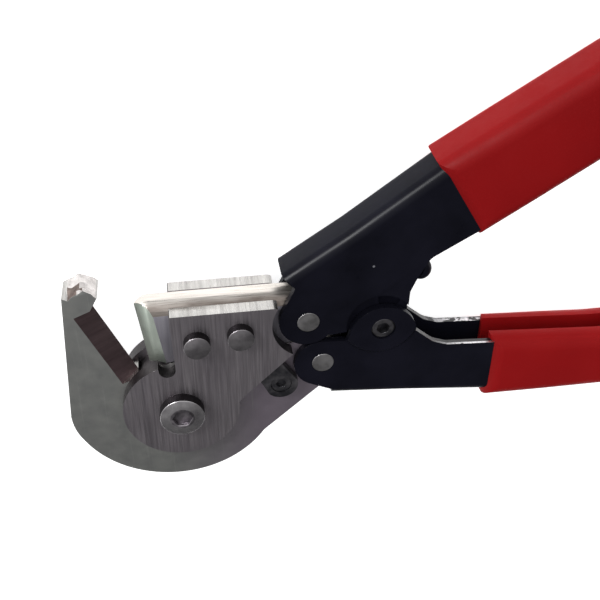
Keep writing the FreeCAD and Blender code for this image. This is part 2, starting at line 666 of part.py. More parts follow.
# ---------------------------------------------------------------- the tool
hook_jaw()
blade()
side_plate("front_side_plate", 1)
side_plate("rear_side_plate", -1)
for name, spot in zip(("tip_rivet", "tail_rivet"), RIVETS):
    plate_rivet(name, spot)
pivot_screw()
pivot_bush()
hex_nut("pivot_nut", (0, 0), size("nutwidth"), "Sizes.nutheight", "Sizes.pivotshank / 2",
        "-(Sizes.jawthick / 2 + Sizes.sideplate + Sizes.nutheight)")
stop_tab("front_stop", 1)
stop_tab("rear_stop", -1)
stop_screw()
upper_channel = upper_handle()
lower_channel = lower_handle()
link_rivet("upper_link_rivet", UPPER)
link_rivet("lower_link_rivet", LOWER)
cross_bolt()
cross_bush()
hex_nut("handle_nut", CROSS, size("crossnutwidth"), "Sizes.crossnutheight",
        "Sizes.crossbolt / 2 - Sizes.screwsink", f"-({WALL_OUT} + {LAP} + Sizes.crossnutheight)")
bumper_block()
bumper_screw()
bumper_nut()
upper_grip(upper_channel)
lower_grip(lower_channel)
doc.recompute()

os.makedirs("parts", exist_ok=True)
failed = [o.Name for o in doc.Objects if "Invalid" in o.State or "Error" in o.State]
failed += [o.Label for o in nodes if o.Shape.isNull() or not o.Shape.isValid()]
if failed:
    raise RuntimeError("failed objects: " + ", ".join(failed))
for node in nodes:
    node.Shape.exportStep(f"parts/{node.Label}.step")
    print(f"{node.Label:18s} {node.Shape.Volume:10.1f} mm3  {len(node.Shape.Solids)} solid(s)")
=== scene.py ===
# %% [markdown]
# # Compound-action tile nippers
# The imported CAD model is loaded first, because the pieces here stand in the CAD pieces' places. All
# lengths are in metres; MM turns millimetres into them. The tool lies on its back: X runs from the
# jaws to the handles and Z is up.

# %% Load the frame
import json
import math

import bmesh
import bpy
from mathutils import Matrix, Vector, noise


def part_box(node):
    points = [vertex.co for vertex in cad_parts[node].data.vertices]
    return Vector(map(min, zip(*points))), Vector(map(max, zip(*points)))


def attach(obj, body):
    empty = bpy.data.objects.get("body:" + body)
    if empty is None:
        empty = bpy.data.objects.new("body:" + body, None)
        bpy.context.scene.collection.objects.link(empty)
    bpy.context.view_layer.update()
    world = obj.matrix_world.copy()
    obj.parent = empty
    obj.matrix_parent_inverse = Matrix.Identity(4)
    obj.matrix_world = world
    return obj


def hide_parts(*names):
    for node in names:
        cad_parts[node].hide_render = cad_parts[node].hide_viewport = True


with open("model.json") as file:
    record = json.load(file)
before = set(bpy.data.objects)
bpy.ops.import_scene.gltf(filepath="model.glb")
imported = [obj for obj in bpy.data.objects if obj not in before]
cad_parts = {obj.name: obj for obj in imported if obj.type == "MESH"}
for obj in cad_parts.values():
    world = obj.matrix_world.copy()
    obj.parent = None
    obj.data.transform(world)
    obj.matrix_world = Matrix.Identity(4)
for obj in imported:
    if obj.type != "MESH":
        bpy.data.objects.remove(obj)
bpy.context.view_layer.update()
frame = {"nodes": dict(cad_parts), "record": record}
MM = 0.001
BODY_OF = {node: body for body, members in frame["record"]["behaviour"]["bodies"].items()
           for node in members}
JOINTS = {joint["name"]: Vector(joint["pos_m"]) for joint in frame["record"]["behaviour"]["joints"]}
PIVOT = JOINTS["jaw_pivot"]
MIDDLE = PIVOT.z

# %% [markdown]
# ## Camera
# A hand tool on a table is usually seen from standing height, looking down at a little over 50
# degrees. This camera stands on the far side, so the tool's upper handle points up in the picture,
# and its lens is a short telephoto that keeps the jaws from looking stretched. A Track To constraint
# could aim it; three vectors that are written down once also hold its roll.

# %% Camera
CAMERA_PLACE = Vector((0.00525, 0.16435, 0.20238))
CAMERA_RIGHT = Vector((0.98937, -0.00079, 0.14540))
CAMERA_BACK = Vector((-0.11832, 0.57683, 0.80825))
LENS, SENSOR = 54.0, 36.0


def add_camera():
    data = bpy.data.cameras.new("camera")
    data.lens = LENS
    data.sensor_width = SENSOR
    camera = bpy.data.objects.new("camera", data)
    up = CAMERA_BACK.cross(CAMERA_RIGHT)
    turn = Matrix((CAMERA_RIGHT, up, CAMERA_BACK)).transposed().to_4x4()
    camera.matrix_world = Matrix.Translation(CAMERA_PLACE) @ turn
    bpy.context.scene.collection.objects.link(camera)
    bpy.context.scene.camera = camera


add_camera()
bpy.context.scene.view_settings.view_transform = "Standard"
print(f"camera: {(CAMERA_PLACE - PIVOT).length / MM:.0f} mm from the main pivot, lens {LENS:.0f}")

# %% [markdown]
# ## Floor
# Polished steel shows what is round it more than its own colour. A plain white card would do, but its
# light would come only from the lamps. This floor is a light table: one flat grid that glows a little,
# so faces that lean towards it turn bright and the shadows stay soft.


# %% Floor
FLOOR_GLOW = 0.80
FLOOR_HALF = 6.0


def link(thing):
    bpy.context.scene.collection.objects.link(thing)
    return thing


def plain_floor():
    shape = bmesh.new()
    bmesh.ops.create_grid(shape, x_segments=1, y_segments=1, size=FLOOR_HALF)
    data = bpy.data.meshes.new("floor")
    shape.to_mesh(data)
    shape.free()
    floor = link(bpy.data.objects.new("floor", data))
    material = bpy.data.materials.new("floor_white")
    material.use_nodes = True
    shader = material.node_tree.nodes["Principled BSDF"]
    shader.inputs["Base Color"].default_value = (0.93, 0.93, 0.93, 1)
    shader.inputs["Roughness"].default_value = 0.9
    shader.inputs["Specular IOR Level"].default_value = 0.1
    shader.inputs["Emission Color"].default_value = (1, 1, 1, 1)
    shader.inputs["Emission Strength"].default_value = FLOOR_GLOW
    data.materials.append(material)


plain_floor()
print(f"floor: {2 * FLOOR_HALF:.0f} m wide, glow {FLOOR_GLOW}")

# %% [markdown]
# ## Sky
# Round a studio table there is a bright side and a dim side. An image wrapped round the scene could
# give them, but a few nodes on the direction of view do it with nothing to load. The sky is bright
# behind the viewer and dim on the far side, which keeps the flat faces of the tool mid-grey.


# %% Sky
SKY_BRIGHT, SKY_DIM = 1.25, 0.16
SKY_AIM = (-0.38, 0.75, 0.54)
HORIZON_DIM = 0.12


def ranged(tree, source, low, high, first, last, smooth=True):
    """A step from low to high as source goes from first to last."""
    step = tree.nodes.new("ShaderNodeMapRange")
    step.interpolation_type = "SMOOTHSTEP" if smooth else "LINEAR"
    for socket, value in (("From Min", first), ("From Max", last), ("To Min", low), ("To Max", high)):
        step.inputs[socket].default_value = value
    tree.links.new(source, step.inputs["Value"])
    return step.outputs["Result"]


def joined(tree, kind, first, second):
    """One sum, product or other Math node of two sockets or numbers."""
    math_node = tree.nodes.new("ShaderNodeMath")
    math_node.operation = kind
    for socket, value in zip(math_node.inputs, (first, second)):
        if isinstance(value, float):
            socket.default_value = value
        else:
            tree.links.new(value, socket)
    return math_node.outputs["Value"]


def graded_sky():
    """Bright towards SKY_AIM, dim on the far side, with a dark band low behind the viewer.

    What is seen straight past the floor's edge is plain white.
    """
    world = bpy.data.worlds.new("sky")
    world.use_nodes = True
    bpy.context.scene.world = world
    tree = world.node_tree
    place = tree.nodes.new("ShaderNodeTexCoord")
    split = tree.nodes.new("ShaderNodeSeparateXYZ")
    towards = tree.nodes.new("ShaderNodeVectorMath")
    towards.operation = "DOT_PRODUCT"
    towards.inputs[1].default_value = Vector(SKY_AIM).normalized()
    tree.links.new(place.outputs["Generated"], towards.inputs[0])
    tree.links.new(place.outputs["Generated"], split.inputs[0])
    glow = ranged(tree, towards.outputs["Value"], SKY_DIM, SKY_BRIGHT, -0.05, 0.85)
    height = ranged(tree, split.outputs["Z"], 0.0, 1.0, 0.10, 0.42)
    behind = ranged(tree, split.outputs["Y"], 1.0, HORIZON_DIM, 0.2, 0.6)
    band = joined(tree, "MAXIMUM", height, behind)
    light = joined(tree, "MULTIPLY", glow, band)
    path = tree.nodes.new("ShaderNodeLightPath")
    shown = joined(tree, "MAXIMUM", light, path.outputs["Is Camera Ray"])
    background = tree.nodes["Background"]
    background.inputs["Color"].default_value = (1, 1, 1, 1)
    tree.links.new(shown, background.inputs["Strength"])


graded_sky()
print(f"sky: strength {SKY_DIM} to {SKY_BRIGHT}")

# %% [markdown]
# ## Lamps
# A sky alone leaves metal flat. Two square lamps add what it can't: blade_lamp stands low beyond the
# jaws and grazes the ground bevel, and streak_lamp shows only in glossy finishes, where it draws the
# long streak on a painted fold. A square lamp is chosen because its edges stay soft in rough metal.


# %% Lamps
def soft_lamp(name, place, aim, width, power, only_glossy=False):
    data = bpy.data.lights.new(name, "AREA")
    data.shape = "SQUARE"
    data.size = width
    data.energy = power
    lamp = link(bpy.data.objects.new(name, data))
    lamp.visible_diffuse = not only_glossy
    lamp.location = place
    lamp.rotation_euler = (Vector(aim) - Vector(place)).to_track_quat("-Z", "Y").to_euler()
    print(f"{name}: {width} m square, {power} W")


soft_lamp("blade_lamp", (-0.80, -0.72, 0.26), (0.0, 0.02, 0.01), 0.40, 1.0)
soft_lamp("streak_lamp", (-0.55, 0.62, 0.52), (0.08, 0.04, 0.01), 0.30, 15.0, only_glossy=True)

# %% [markdown]
# ## Materials
# Every finish is a Principled shader whose colour, roughness and bump come from noise on Object
# coordinates, so a pattern stays on its piece when the piece turns. Ground and brushed steel need
# noise that is drawn out along the grinding direction; paint and vinyl need fine even grain.


# %% A finish and its grain
def finish(name, color, metallic, roughness):
    """A new material and its shader, with the even values set on the shader itself."""
    material = bpy.data.materials.new(name)
    material.use_nodes = True
    shader = material.node_tree.nodes["Principled BSDF"]
    shader.inputs["Base Color"].default_value = (*color, 1)
    shader.inputs["Metallic"].default_value = metallic
    shader.inputs["Roughness"].default_value = roughness
    return material, shader


def grain(material, scale, stretch=(1, 1, 1), detail=4.0, turn=0.0, rough=0.55):
    """Noise on Object coordinates; a small stretch value draws it out along that axis."""
    nodes, links = material.node_tree.nodes, material.node_tree.links
    place = nodes.new("ShaderNodeTexCoord")
    mapping = nodes.new("ShaderNodeMapping")
    mapping.inputs["Scale"].default_value = stretch
    mapping.inputs["Rotation"].default_value = (0, 0, math.radians(turn))
    speckle = nodes.new("ShaderNodeTexNoise")
    speckle.inputs["Scale"].default_value = scale
    speckle.inputs["Detail"].default_value = detail
    speckle.inputs["Roughness"].default_value = rough
    links.new(place.outputs["Object"], mapping.inputs["Vector"])
    links.new(mapping.outputs["Vector"], speckle.inputs["Vector"])
    return speckle.outputs["Fac"]


print("helpers:", finish.__name__, grain.__name__)

# %% [markdown]
# ### From grain to tone, gloss and bump
# Noise gathers round its middle value, so it is spread over a wider range before it drives anything.
# One ramp or mix then gives the colour, and chained bump nodes give scratches of more than one size.
# The wiring could be drawn by hand in the editor; as helpers, each finish becomes a short list.


# %% Tones and bumps
def spread(material, source, low, high, first=0.35, last=0.65):
    """Turns 0..1 noise into the range low..high."""
    return ranged(material.node_tree, source, low, high, first, last, smooth=False)


def blended(material, source, colors, stops=(0.35, 0.65)):
    """A colour ramp over noise."""
    nodes, links = material.node_tree.nodes, material.node_tree.links
    ramp = nodes.new("ShaderNodeValToRGB")
    for element, color, stop in zip(ramp.color_ramp.elements, colors, stops):
        element.color = (*color, 1)
        element.position = stop
    links.new(source, ramp.inputs["Fac"])
    return ramp.outputs["Color"]


def mixed(material, amount, first, second):
    """From the first colour to the second, as the amount goes from 0 to 1."""
    nodes, links = material.node_tree.nodes, material.node_tree.links
    mix = nodes.new("ShaderNodeMix")
    mix.data_type = "RGBA"
    for value, socket in ((amount, "Factor"), (first, "A"), (second, "B")):
        target = [s for s in mix.inputs if s.name == socket and s.enabled][0]
        if isinstance(value, tuple):
            target.default_value = (*value, 1)
        elif isinstance(value, float):
            target.default_value = value
        else:
            links.new(value, target)
    return [s for s in mix.outputs if s.enabled][0]


def bumped(material, shader, layers):
    """Chains bump nodes, one for each (height, strength, distance in metres)."""
    nodes, links = material.node_tree.nodes, material.node_tree.links
    normal = None
    for height, strength, distance in layers:
        bump = nodes.new("ShaderNodeBump")
        bump.inputs["Strength"].default_value = strength
        bump.inputs["Distance"].default_value = distance
        links.new(height, bump.inputs["Height"])
        if normal is not None:
            links.new(normal, bump.inputs["Normal"])
        normal = bump.outputs["Normal"]
    links.new(normal, shader.inputs["Normal"])


def into(material, source, shader, socket):
    """Links a source to one socket of the shader."""
    material.node_tree.links.new(source, shader.inputs[socket])


def tell(*materials):
    for material in materials:
        print(f"{material.name}: {len(material.node_tree.nodes)} nodes")


print("helpers:", spread.__name__, blended.__name__, mixed.__name__, bumped.__name__)

# %% [markdown]
# ### Wear that has a place
# Rub marks, chips and stains sit where a tool is touched. A mask could be painted by hand on an
# unwrapped mesh; a step along one axis, or a small sphere round a point, needs no unwrapping.


# %% Masks by place
def place_along(material, axis, first, last):
    """0 to 1 as the Object coordinate of one axis goes from first to last, in metres."""
    nodes, links = material.node_tree.nodes, material.node_tree.links
    place = nodes.new("ShaderNodeTexCoord")
    split = nodes.new("ShaderNodeSeparateXYZ")
    links.new(place.outputs["Object"], split.inputs[0])
    return spread(material, split.outputs[axis], 0.0, 1.0, first, last)


SOFT_RIM = 0.8


def near(material, point, radius):
    """1 within a radius of a point on the tool, 0 outside it."""
    nodes, links = material.node_tree.nodes, material.node_tree.links
    place = nodes.new("ShaderNodeTexCoord")
    gap = nodes.new("ShaderNodeVectorMath")
    gap.operation = "DISTANCE"
    gap.inputs[1].default_value = point
    links.new(place.outputs["Object"], gap.inputs[0])
    return spread(material, gap.outputs["Value"], 1.0, 0.0, radius * SOFT_RIM, radius)


print("masks:", place_along.__name__, near.__name__)

# %% [markdown]
# ### Ground steel
# The side plates were surface ground along their height, which leaves fine upright lines. A scan of
# real steel could be tiled over them; here hair lines lie over slower bands and broad clouds of tone,
# because that never repeats. The hook's own ground bevel is stained brown by heat.


# %% Ground steel
def brushed_steel(name, dark, light, along, turn=0.0, roughness=(0.36, 0.5), lines=2600.0, depth=0.30):
    """Ground steel: hair lines along one direction over slow patches of tone."""
    material, shader = finish(name, light, 1.0, 0.42)
    hair = grain(material, lines, along, detail=3.0, turn=turn)
    broad = grain(material, lines / 3, tuple(v * 0.8 for v in along), detail=4.0, turn=turn, rough=0.7)
    patch = grain(material, 80.0, detail=4.0)
    tone = blended(material, broad, (dark, light), (0.30, 0.70))
    darkening = tuple(v * 0.82 for v in dark)
    cloud = spread(material, patch, 0.0, 0.40, 0.42, 0.72)
    into(material, mixed(material, cloud, tone, darkening), shader, "Base Color")
    into(material, spread(material, hair, *roughness), shader, "Roughness")
    bumped(material, shader, [(hair, depth, 0.00004), (broad, depth * 0.4, 0.00005)])
    return material


PLATE_STEEL = brushed_steel("plate_steel", (0.215, 0.195, 0.215), (0.32, 0.295, 0.313), (1.0, 0.025, 1.0))
EDGE_STEEL = brushed_steel("edge_steel", (0.34, 0.33, 0.32), (0.62, 0.61, 0.59), (1.0, 1.0, 0.03),
                           roughness=(0.24, 0.36))
BLADE_FACE = brushed_steel("blade_face", (0.20, 0.19, 0.22), (0.30, 0.29, 0.32), (1.0, 0.03, 1.0))
HOOK_BEVEL = brushed_steel("hook_bevel", (0.095, 0.066, 0.070), (0.14, 0.098, 0.103), (0.03, 1.0, 0.03),
                           turn=23.0, roughness=(0.45, 0.6))
tell(PLATE_STEEL, EDGE_STEEL, BLADE_FACE, HOOK_BEVEL)

# %% [markdown]
# ### Blasted steel
# The hook jaw was bead-blasted: its grain is even, with slow patches and a few slanting scratches. It
# is greener than the plates, and turns violet towards its tail. The blade's bevel is smoother, and
# the screws, rivets and sockets wear the same finish in their own tones. Three tones are painted shade:
# a nearly black one on a head's upright wall, a dark one for walls in gaps and under the plates, and a
# dull one inside the pivot's drive socket.


# %% Blasted steel
TINT_FROM, TINT_TO = -4 * MM, 22 * MM


def blasted_steel(name, dark, light, roughness=(0.42, 0.55), right_tint=None):
    """Fine even grain, slow patches of tone and faint slanting scratches.

    right_tint is a second colour that takes over to the right of the pivot.
    """
    material, shader = finish(name, light, 1.0, 0.48)
    fine = grain(material, 5200.0, detail=2.0)
    patch = grain(material, 210.0, detail=5.0, rough=0.65)
    scratch = grain(material, 1300.0, (1.0, 0.03, 1.0), detail=2.0, turn=-38.0)
    tone = blended(material, patch, (dark, light), (0.32, 0.68))
    if right_tint:
        tone = mixed(material, place_along(material, "X", TINT_FROM, TINT_TO), tone, right_tint)
    marks = spread(material, scratch, 0.0, 0.35, 0.62, 0.78)
    into(material, mixed(material, marks, tone, tuple(v * 1.3 for v in light)), shader, "Base Color")
    into(material, spread(material, patch, *roughness), shader, "Roughness")
    bumped(material, shader, [(fine, 0.22, 0.00005), (scratch, 0.15, 0.00004)])
    return material


HOOK_STEEL = blasted_steel("hook_steel", (0.272, 0.276, 0.270), (0.300, 0.303, 0.290), (0.45, 0.50),
                           right_tint=(0.275, 0.238, 0.28))
BLADE_BEVEL = blasted_steel("blade_bevel", (0.335, 0.375, 0.33), (0.37, 0.41, 0.365), (0.44, 0.48))
RIVET_STEEL = blasted_steel("rivet_steel", (0.18, 0.168, 0.18), (0.27, 0.257, 0.266), (0.30, 0.42))
LINK_STEEL = blasted_steel("link_steel", (0.20, 0.195, 0.197), (0.34, 0.33, 0.335), (0.32, 0.44))
# Painted shade: a nearly black steel for the upright walls of heads.
PAINTED_SHADE_WALL = blasted_steel("painted_shade_wall", (0.008, 0.007, 0.008), (0.028, 0.025, 0.027), (0.45, 0.55))
# Painted shade: a dull dark steel for the inside of the pivot's drive socket.
SOCKET_SHADE_STEEL = blasted_steel("socket_shade_steel", (0.09, 0.083, 0.092), (0.26, 0.24, 0.26), (0.34, 0.50))
PIVOT_STEEL = blasted_steel("pivot_steel", (0.30, 0.285, 0.30), (0.44, 0.425, 0.435), (0.26, 0.38))
# Painted shade: a dark steel for walls in gaps and under the side plates.
PAINTED_SHADE_STEEL = blasted_steel("painted_shade_steel", (0.030, 0.027, 0.030), (0.085, 0.078, 0.080), (0.40, 0.55))
tell(HOOK_STEEL, BLADE_BEVEL, RIVET_STEEL, LINK_STEEL, PAINTED_SHADE_WALL, SOCKET_SHADE_STEEL, PIVOT_STEEL, PAINTED_SHADE_STEEL)

# %% [markdown]
# ### The blade's crown
# The crown was polished lengthwise and nickelled. Its lower side by the front plate is painted dark brown
# as painted shade. A mask along Z places that shade, and uneven noise keeps its edge from looking ruled.


# %% Nickelled crown
CROWN_SHADE_FROM, CROWN_SHADE_TO = 11.8 * MM, 13.2 * MM


def crown_steel(name):
    """Nickelled steel, polished lengthwise, with painted shade in dark brown where it meets the front
    plate.
    """
    material, shader = finish(name, (0.8, 0.77, 0.72), 1.0, 0.32)
    hair = grain(material, 2600.0, (0.04, 1.0, 1.0), detail=3.0)
    sand = grain(material, 2800.0, detail=3.0)
    patch = grain(material, 260.0, (0.3, 1.0, 1.0), detail=4.0)
    tone = blended(material, hair, ((0.58, 0.54, 0.50), (0.80, 0.76, 0.71)), (0.3, 0.7))
    # Painted shade: the crown's lower front side turns dark brown towards the front plate.
    by_plate = place_along(material, "Z", CROWN_SHADE_FROM, CROWN_SHADE_TO)
    uneven = spread(material, patch, 0.72, 1.0)
    darkening = joined(material.node_tree, "MULTIPLY", by_plate, uneven)
    into(material, mixed(material, darkening, tone, (0.075, 0.055, 0.045)), shader, "Base Color")
    into(material, spread(material, hair, 0.26, 0.38), shader, "Roughness")
    bumped(material, shader, [(hair, 0.2, 0.00004), (sand, 0.12, 0.00004)])
    return material


NICKEL = crown_steel("nickel")
tell(NICKEL)

# %% [markdown]
# ### Gloss paint
# The handles are stamped, then dipped in gloss black. The clear layer on top is the shader's own coat,
# tinted blue-green as old lacquer is, and slow noise gives the colour under it a slight orange peel.
# Dust specks and one chip through to bare metal keep the large flat faces from looking new.


# %% Gloss paint
PAINT_NICK = (0.0513, 0.0402, 0.01665)
NICK_RADIUS = 0.35 * MM


def gloss_paint(name):
    material, shader = finish(name, (0.0035, 0.0038, 0.006), 0.0, 0.34)
    shader.inputs["Specular IOR Level"].default_value = 0.03
    shader.inputs["Coat Weight"].default_value = 0.065
    shader.inputs["Coat Roughness"].default_value = 0.28
    shader.inputs["Coat Tint"].default_value = (0.66, 0.90, 1.0, 1)
    peel = grain(material, 420.0, detail=2.0)
    dust = grain(material, 3800.0, detail=3.0)
    patch = grain(material, 60.0, detail=4.0)
    tone = blended(material, patch, ((0.0056, 0.0056, 0.0096), (0.0096, 0.0094, 0.0165)))
    specks = spread(material, dust, 0.0, 0.30, 0.70, 0.80)
    dusty = mixed(material, specks, tone, (0.030, 0.030, 0.036))
    chipped = near(material, PAINT_NICK, NICK_RADIUS)
    into(material, mixed(material, chipped, dusty, (0.22, 0.22, 0.24)), shader, "Base Color")
    into(material, spread(material, patch, 0.26, 0.42), shader, "Roughness")
    bumped(material, shader, [(peel, 0.10, 0.0003), (dust, 0.08, 0.00005)])
    return material


GLOSS_BLACK = gloss_paint("gloss_black")
tell(GLOSS_BLACK)

# %% [markdown]
# ### Black oxide
# Bought screws are blackened in a hot bath, which colours the steel and adds no layer. So this finish
# stays three quarters metal, duller than paint, with patches where fingers have rubbed it.


# %% Black oxide
def black_oxide(name):
    material, shader = finish(name, (0.035, 0.035, 0.04), 0.75, 0.38)
    fine = grain(material, 4200.0, detail=3.0)
    patch = grain(material, 260.0, detail=3.0)
    tone = blended(material, patch, ((0.035, 0.035, 0.041), (0.105, 0.10, 0.108)))
    into(material, tone, shader, "Base Color")
    into(material, spread(material, patch, 0.28, 0.46), shader, "Roughness")
    bumped(material, shader, [(fine, 0.18, 0.00005)])
    return material


BLACK_OXIDE = black_oxide("black_oxide")
tell(BLACK_OXIDE)

# %% [markdown]
# ### Dipped vinyl
# Vinyl is dipped hot and sets soft and satin. It reflects little, so its specular level is low, and
# its body is a deep red with a fine sand grain: the grain both lightens the tone and lifts the bump.


# %% Dipped vinyl
def dipped_vinyl(name):
    material, shader = finish(name, (0.29, 0.0045, 0.0055), 0.0, 0.52)
    shader.inputs["Specular IOR Level"].default_value = 0.06
    sand = grain(material, 1900.0, detail=3.0)
    soft = grain(material, 240.0, detail=3.0)
    patch = grain(material, 26.0, detail=3.0)
    tone = blended(material, patch, ((0.285, 0.0056, 0.0070), (0.340, 0.0080, 0.0092)))
    grains = spread(material, sand, 0.0, 0.35, 0.50, 0.75)
    into(material, mixed(material, grains, tone, (0.36, 0.011, 0.013)), shader, "Base Color")
    into(material, spread(material, soft, 0.46, 0.58), shader, "Roughness")
    bumped(material, shader, [(soft, 0.08, 0.0003), (sand, 0.22, 0.00012)])
    return material


RED_VINYL = dipped_vinyl("red_vinyl")
tell(RED_VINYL)

# %% [markdown]
# ### Worn paint edges
# On the sheet's cut edges paint runs thin and rubs through, most of all on the outer corners and away
# from the jaws. The mask is a slow slope plus flecks, cut off sharply, because paint is either there
# or gone. Where it is gone the shader turns to metal.


# %% Worn paint edges
# Rubbing grows from RUB_FROM to RUB_TO up Z. It shows on the channel's two walls, whose limits are
# heights on Z, and along X from where the handle is straight.
RUB_FROM, RUB_TO = 7.5 * MM, 13.0 * MM
FRONT_WALL = 15.8 * MM, 16.0 * MM
REAR_WALL = 7.5 * MM, 7.0 * MM
RUB_START, RUB_FULL = 68 * MM, 78 * MM
SLOPE_SHARE = 0.14


def worn_edge(name):
    """A cut edge where the paint has rubbed through: bare steel with flecks of paint left on it."""
    material, shader = finish(name, (0.6, 0.6, 0.6), 1.0, 0.36)
    hair = grain(material, 2400.0, (1.0, 1.0, 0.05), detail=3.0)
    fleck = grain(material, 900.0, (0.35, 1.0, 1.0), detail=4.0, rough=0.7)
    steel = blended(material, hair, ((0.50, 0.50, 0.52), (0.85, 0.85, 0.87)), (0.3, 0.7))
    tree = material.node_tree
    slope = joined(tree, "MULTIPLY", place_along(material, "Z", RUB_FROM, RUB_TO), SLOPE_SHARE)
    rubbed = spread(material, joined(tree, "ADD", slope, fleck), 0.0, 1.0, 0.50, 0.54)
    walls = joined(tree, "MAXIMUM", place_along(material, "Z", *FRONT_WALL),
                   place_along(material, "Z", *REAR_WALL))
    straight = place_along(material, "X", RUB_START, RUB_FULL)
    bare = joined(tree, "MULTIPLY", rubbed, joined(tree, "MULTIPLY", walls, straight))
    into(material, mixed(material, bare, (0.005, 0.005, 0.008), steel), shader, "Base Color")
    into(material, bare, shader, "Metallic")
    into(material, spread(material, hair, 0.30, 0.42), shader, "Roughness")
    bumped(material, shader, [(bare, 0.4, 0.00005)])
    return material


BARE_EDGE = worn_edge("bare_edge")
tell(BARE_EDGE)

# %% [markdown]
# ## Dressing the CAD shapes
# A CAD plate has knife-sharp corners, and real steel never has: a tenth of a millimetre of rounding
# is what catches the light. Each node is copied, its loose triangles are merged and dissolved back
# to flat faces, and a small live bevel rounds the corners that are marked for it. Modelling each
# piece afresh would give cleaner faces, but it could drift from the CAD, and its bores with it.


# %% A merged copy and its corners
MERGE_GAP = 0.002 * MM
FLAT_WITHIN = 1.0
SHORT_EDGE = 0.12 * MM


def merged_copy(node):
    shape = bmesh.new()
    shape.from_mesh(frame["nodes"][node].data)
    bmesh.ops.remove_doubles(shape, verts=shape.verts, dist=MERGE_GAP)
    bmesh.ops.dissolve_limit(shape, angle_limit=math.radians(FLAT_WITHIN), verts=shape.verts,
                             edges=shape.edges)
    return shape


def mark_corners(shape, sharp, spare):
    """Marks the outer edges to round; spare is a test for places whose edges stay as they are."""
    weight = shape.edges.layers.float.new("bevel_weight_edge")
    for edge in shape.edges:
        if spare and spare((edge.verts[0].co + edge.verts[1].co) / 2):
            continue
        if edge.calc_length() > SHORT_EDGE and len(edge.link_faces) == 2:
            if edge.calc_face_angle_signed(0.0) > math.radians(sharp):
                edge[weight] = 1.0


sample = merged_copy("front_side_plate")
print("front_side_plate merged:", len(sample.verts), "vertices,", len(sample.faces), "faces")
sample.free()

# %% [markdown]
# ### From a mesh to a dressed piece
# A face takes its finish from where it lies and which way it points, so one piece can be flat steel on
# its sides and dark in its socket. The new piece stands for its CAD node: it hides the node and rides the
# same body, so it moves with the joints as the node did.


# %% Dressing helpers
def paint(shape, materials, choose):
    """Gives each face the material that choose picks for it."""
    for face in shape.faces:
        face.material_index = materials.index(choose(face))


def settle(shape, name, node, materials, bevel=0.25, sharp=28.0, segments=2, flat=(), spare=None):
    """Turn a bmesh into a piece that stands for a node, with a live bevel on its outer corners.

    flat holds the materials whose faces are shaded flat, and bevel is a width in mm.
    """
    mark_corners(shape, sharp, spare)
    data = bpy.data.meshes.new(name)
    shape.to_mesh(data)
    shape.free()
    for material in materials:
        data.materials.append(material)
    piece = link(bpy.data.objects.new(name, data))
    for polygon in data.polygons:
        polygon.use_smooth = materials[polygon.material_index] not in flat
    if bevel:
        cut = piece.modifiers.new("corner", "BEVEL")
        cut.width = bevel * MM
        cut.segments = segments
        cut.limit_method = "WEIGHT"
        cut.harden_normals = True
        cut.use_clamp_overlap = True
    data.set_sharp_from_angle(angle=math.radians(sharp))
    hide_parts(node)
    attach(piece, BODY_OF[node])
    print(f"{name}: {len(data.polygons)} faces")
    return piece


def dress(node, materials, choose=None, bevel=0.25, sharp=28.0):
    """A bevelled copy of a node, with one material or one that choose picks for each face."""
    shape = merged_copy(node)
    if choose:
        paint(shape, materials, choose)
    return settle(shape, node + "_dressed", node, materials, bevel, sharp)


def faces_up_or_down(face):
    return abs(face.normal.z) > 0.98


def leans(face):
    """True on a ground bevel or a steeper slope that is not an upright wall."""
    return abs(face.normal.z) > 0.35


def from_pivot(place):
    """How far a place is from the main pivot's axis."""
    return math.hypot(place.x - PIVOT.x, place.y - PIVOT.y)


print("bodies:", sorted(set(BODY_OF.values())))

# %% [markdown]
# ## Hook jaw
# The nose has struck many tiles: its top is broken to bright bare steel, with brown forge scale left
# at one corner. A bump map could roughen it, but its outline would stay straight. So the top is cut
# into small squares, and each of their corners is pushed down by a slope, a chip and noise. Nothing is
# pushed up, so the nose stays inside its CAD shape.

# %% Breaking the hook's nose
BROKEN_STEEL = brushed_steel("broken_steel", (0.40, 0.375, 0.365), (0.80, 0.765, 0.75), (1.0, 1.0, 1.0),
                             roughness=(0.25, 0.5), lines=1500.0, depth=0.5)
FORGE_SCALE = brushed_steel("forge_scale", (0.09, 0.065, 0.06), (0.24, 0.20, 0.18), (1.0, 1.0, 1.0),
                            roughness=(0.5, 0.7), lines=1700.0, depth=0.6)
NOSE_DEPTH = 3.2 * MM
NOSE_CELL = 0.7 * MM
NOSE_PEAK = -22.0 * MM
NOSE_LENGTH = 12 * MM
HALF_JAW = 4.0 * MM
OUTER_FALL, INNER_FALL, CORNER_FALL = 0.55, 1.1, 1.3
LUMP_FALL, GRIT_FALL = 1.1, 0.22
LEAST_FALL = 0.02


def sliced(shape, faces, low, high, axis, cell):
    """Cut a set of faces by evenly spaced planes across one axis."""
    normal = Vector([1.0 if n == axis else 0.0 for n in range(3)])
    place = low + cell
    while place < high:
        edges = {edge for face in faces for edge in face.edges}
        verts = {vert for face in faces for vert in face.verts}
        result = bmesh.ops.bisect_plane(shape, geom=list(faces | edges | verts), plane_co=normal * place,
                                        plane_no=normal, dist=1e-7)
        faces |= {item for item in result["geom"] if isinstance(item, bmesh.types.BMFace)}
        faces = {face for face in faces if face.is_valid}
        place += cell
    return faces


